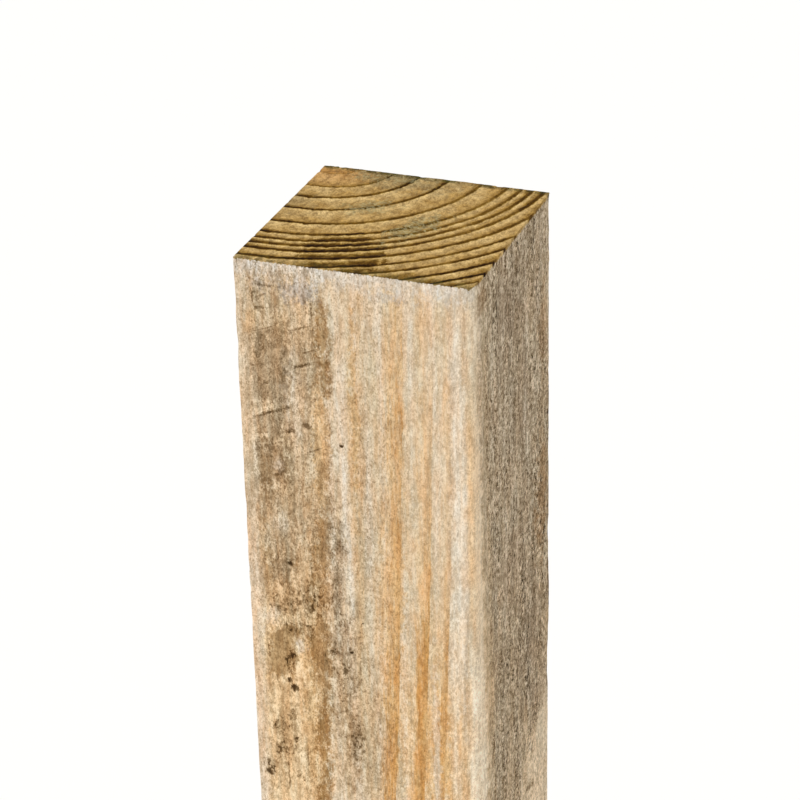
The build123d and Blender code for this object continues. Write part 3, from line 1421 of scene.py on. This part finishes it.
    def _cut_grid(
        self, ring: np.ndarray, columns: int, first: int, free: int
    ) -> tuple[np.ndarray, np.ndarray]:
        """Fill a loop with a grid that follows its four sides.

        Args:
            ring: The loop's points.
            columns: How many steps each side has.
            first: The number of the loop's first vertex.
            free: The number of the first vertex that the grid may add.

        Returns:
            The vertex numbers of the grid, by row and column, and the points that it adds.
        """
        closed = np.vstack([ring, ring[:1]])
        front, right, back, left = (
            closed[side * columns : (side + 1) * columns + 1] for side in range(4)
        )
        back, left = back[::-1], left[::-1]
        share = self._spread(columns)
        u, v = share[None, :, None], share[:, None, None]
        between_rows = front[None] * (1 - v) + back[None] * v
        between_columns = left[:, None] * (1 - u) + right[:, None] * u
        low_side = front[0] * (1 - u) + front[-1] * u
        high_side = back[0] * (1 - u) + back[-1] * u
        filled = between_rows + between_columns - (low_side * (1 - v) + high_side * v)
        grid = np.zeros((columns + 1, columns + 1), int)
        around = 4 * columns
        steps = np.arange(columns + 1)
        grid[0] = first + steps
        grid[:, -1] = first + columns + steps
        grid[-1] = first + 3 * columns - steps
        grid[:, 0] = first + (around - steps) % around
        inner = columns - 1
        grid[1:-1, 1:-1] = free + np.arange(inner * inner).reshape(inner, inner)
        return grid, filled[1:-1, 1:-1].reshape(-1, 3)

    def _relief(self, sizes: dict[str, float], material: bpy.types.Material) -> Tree:
        """Make the tree that works the grain, the saw's marks and the wear into the skin.

        Args:
            sizes: The tree's size inputs, in millimetres.
            material: The wood.

        Returns:
            The tree.
        """
        timber = self.timber
        tree, inputs = new_tree("sawn_relief", sizes)
        place = timber.place(tree, add(tree, Node.POSITION))
        grain = timber.grain(tree, place)
        saw = timber.saw_cut(tree, place)
        near_side, from_arris = timber.from_edge(tree, place)
        from_rim = add(tree, Node.MAXIMUM, near_side, timber.from_end(tree, place))
        swell = timber.noise(tree, place, (35.0, 35.0, 90.0), 1.0, 20.0)
        depth = add(tree, Node.MULTIPLY_ADD, swell, inputs["Swell"], inputs["Sink"])
        fibre = timber.noise(tree, place, (1.8, 1.8, 12.0), 2.0, 21.0)
        depth = add(tree, Node.MULTIPLY_ADD, fibre, inputs["Fibre"], depth)
        depth = add(tree, Node.MULTIPLY_ADD, saw.line, inputs["Saw Groove"], depth)
        near = add(tree, Node.EASE, from_arris, 4.5, 0.5)
        bites = timber.noise(tree, place, (6.0, 6.0, 16.0), 2.0, 22.0)
        bites = add(tree, Node.EASE, bites, 0.45, 0.75)
        bites = add(tree, Node.MULTIPLY, bites, near)
        depth = add(tree, Node.MULTIPLY_ADD, bites, inputs["Chip"], depth)
        ridge = add(tree, Node.EASE, grain.to_line, 2.4, 0.3)
        ridge = together(tree, ridge, add(tree, Node.EASE, from_rim, 0.5, 5.0), inputs["Ring Ridge"])
        depth = add(tree, Node.SUBTRACT, depth, ridge)
        depth = add(tree, Node.MAXIMUM, depth, 0.0)
        metres = add(tree, Node.MULTIPLY, depth, -MM)
        normal = add(tree, Node.NORMAL)
        push = add(tree, Node.VECTOR_SCALE, normal, named={"Scale": metres})
        moved = add(tree, Node.SET_POSITION, inputs["Mesh"], named={"Offset": push})
        whole = add(tree, Node.REALIZE, moved)
        dressed = add(tree, Node.SET_MATERIAL, whole, named={"Material": material})
        add(tree, Node.TREE_END, dressed)
        return tree


@dataclass
class Studio:
    """The pale floor, the soft light and the camera, with sizes in metres and angles in degrees."""

    top: Vector
    floor_radius: float = 60.0
    floor_sides: int = 64
    sky: float = 0.55
    sky_colour: str = "#FFFFFF"
    key_strength: float = 2.35
    key_softness: float = 40.0
    key_heading: float = -32.0
    key_height: float = 50.0
    lens: float = 126.3
    camera_from_top: Triple = (0.2745, -0.7190, 0.3349)
    camera_heading: float = 20.87
    camera_dip: float = 27.14
    camera_roll: float = -1.34

    def build(self, finish: PaleFloor) -> None:
        """Make the stage.

        Args:
            finish: The floor's finish.
        """
        self._lay_floor(finish)
        self._light()
        self._aim_camera()
        bpy.context.scene.view_settings.view_transform = "Standard"

    def _lay_floor(self, finish: PaleFloor) -> None:
        """Lay the floor as one large disc.

        Args:
            finish: The floor's finish.
        """
        turns = np.linspace(0.0, 2 * np.pi, self.floor_sides, endpoint=False)
        ring = np.column_stack([np.cos(turns), np.sin(turns), np.zeros(len(turns))]) * self.floor_radius
        mesh = bpy.data.meshes.new("studio_floor")
        mesh.from_pydata(ring, [], [list(range(len(ring)))])
        mesh.materials.append(finish.material())
        floor = bpy.data.objects.new("studio_floor", mesh)
        bpy.context.scene.collection.objects.link(floor)

    def _light(self) -> None:
        """Light the stage with a white sky and one wide key light from the front left."""
        world = bpy.data.worlds.new("studio_sky")
        tree = emptied(world)
        sky = add(tree, Node.SKY, linear(self.sky_colour), self.sky)
        add(tree, Node.WORLD_END, sky)
        bpy.context.scene.world = world
        key = bpy.data.lights.new("key_light", "SUN")
        key.energy = self.key_strength
        key.angle = math.radians(self.key_softness)
        lamp = bpy.data.objects.new("key_light", key)
        lamp.rotation_euler = (math.radians(90 - self.key_height), 0.0, math.radians(self.key_heading))
        bpy.context.scene.collection.objects.link(lamp)

    def _aim_camera(self) -> None:
        """Set the camera where the photograph was taken from."""
        data = bpy.data.cameras.new("camera")
        data.lens = self.lens
        camera = bpy.data.objects.new("camera", data)
        heading, dip = math.radians(self.camera_heading), math.radians(self.camera_dip)
        forward = Vector(
            (-math.sin(heading) * math.cos(dip), math.cos(heading) * math.cos(dip), -math.sin(dip))
        )
        turn = forward.to_track_quat("-Z", "Y").to_matrix()
        roll = Matrix.Rotation(math.radians(self.camera_roll), 3, "Z")
        place = Matrix.Translation(self.top + Vector(self.camera_from_top))
        camera.matrix_world = place @ (turn @ roll).to_4x4()
        bpy.context.scene.collection.objects.link(camera)
        bpy.context.scene.camera = camera


def main() -> None:
    """Build the post and its stage, and report each piece."""
    logging.basicConfig(level=logging.INFO, format="%(name)s: %(message)s")
    low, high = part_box(POST_NODE)
    size = (high - low) / MM
    timber = Timber(width=size.x, depth=size.y, length=size.z)
    post = SawnPost(timber).build(SawnSoftwood(timber))
    log.info("%s: %d faces", post.name, len(post.data.polygons))
    Studio(top=Vector(((low.x + high.x) / 2, (low.y + high.y) / 2, high.z))).build(PaleFloor())
    log.info("stage and camera set")


if __name__ == "__main__":
    main()
